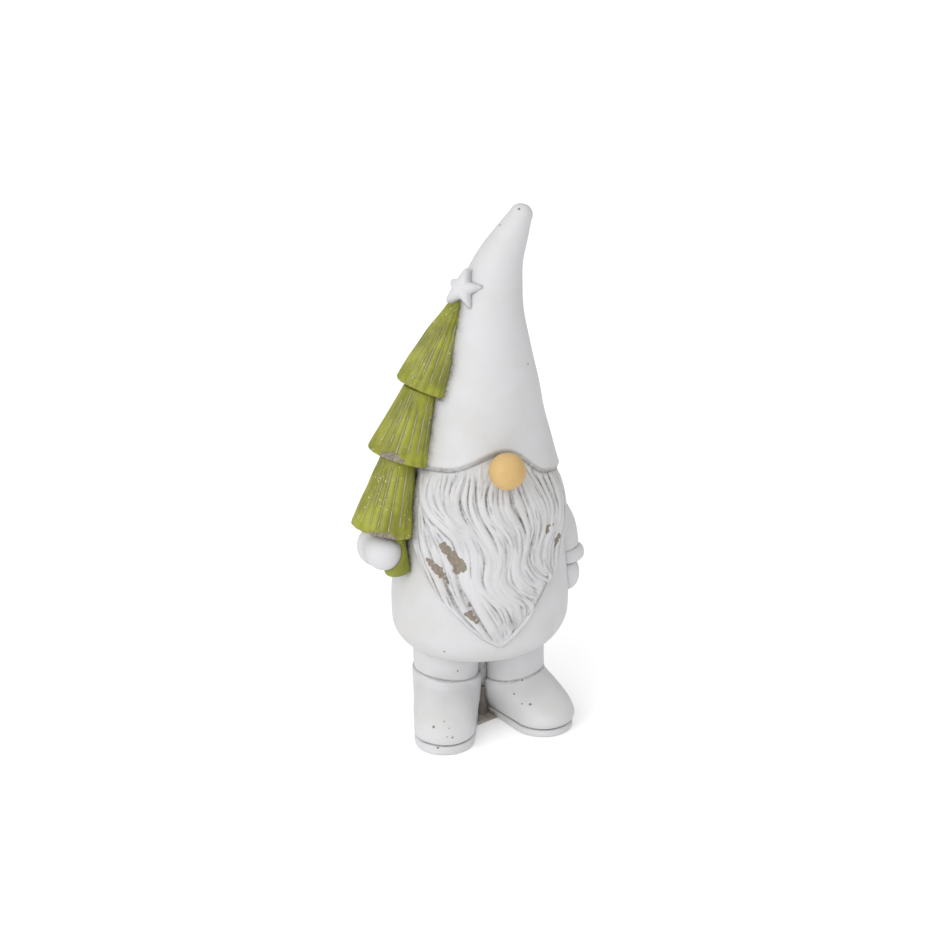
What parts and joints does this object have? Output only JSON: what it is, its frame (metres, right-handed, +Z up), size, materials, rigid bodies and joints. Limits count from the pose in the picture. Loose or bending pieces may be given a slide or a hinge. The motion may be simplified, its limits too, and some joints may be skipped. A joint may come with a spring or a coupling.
{
  "type": "garden gnome",
  "caption": "standing garden gnome ornament with a tall bent hat, a ball nose and a long wavy beard, holding a stacked fir tree with a star against one side",
  "frame": {"origin": "on the ground, on the axis of the body, between the boots, at the underside of the plate that joins the soles", "axes": "+Z up, the figure faces -Y, +X towards the figure's left hand"},
  "size_m": [0.2235, 0.1605, 0.493],
  "materials": {
    "white_paint": "matte",
    "washed_white": "matte",
    "bare_casting": "matte",
    "stained_casting": "matte",
    "green_paint": "satin",
    "nose_ball": "satin",
    "dowel_wood": "matte",
    "steel_rod": "satin"
  },
  "bodies": {
    "root": {"coat": "white_paint", "hat": "white_paint", "head": "bare_casting", "beard": "washed_white", "nose": "nose_ball", "nose_dowel": "dowel_wood", "foot_web": "stained_casting", "tree_trunk": "green_paint", "tree_tier_bottom": "green_paint", "tree_tier_middle": "green_paint", "tree_tier_top": "green_paint", "tree_rod": "steel_rod", "star": "white_paint", "right_sleeve": "white_paint", "right_cuff": "white_paint", "right_mitten": "white_paint", "right_leg": "white_paint", "right_boot": "white_paint", "right_sole": "white_paint", "right_leg_rod": "steel_rod", "left_sleeve": "white_paint", "left_cuff": "white_paint", "left_mitten": "white_paint", "left_leg": "white_paint", "left_boot": "white_paint", "left_sole": "white_paint", "left_leg_rod": "steel_rod"}
  },
  "joints": []
}
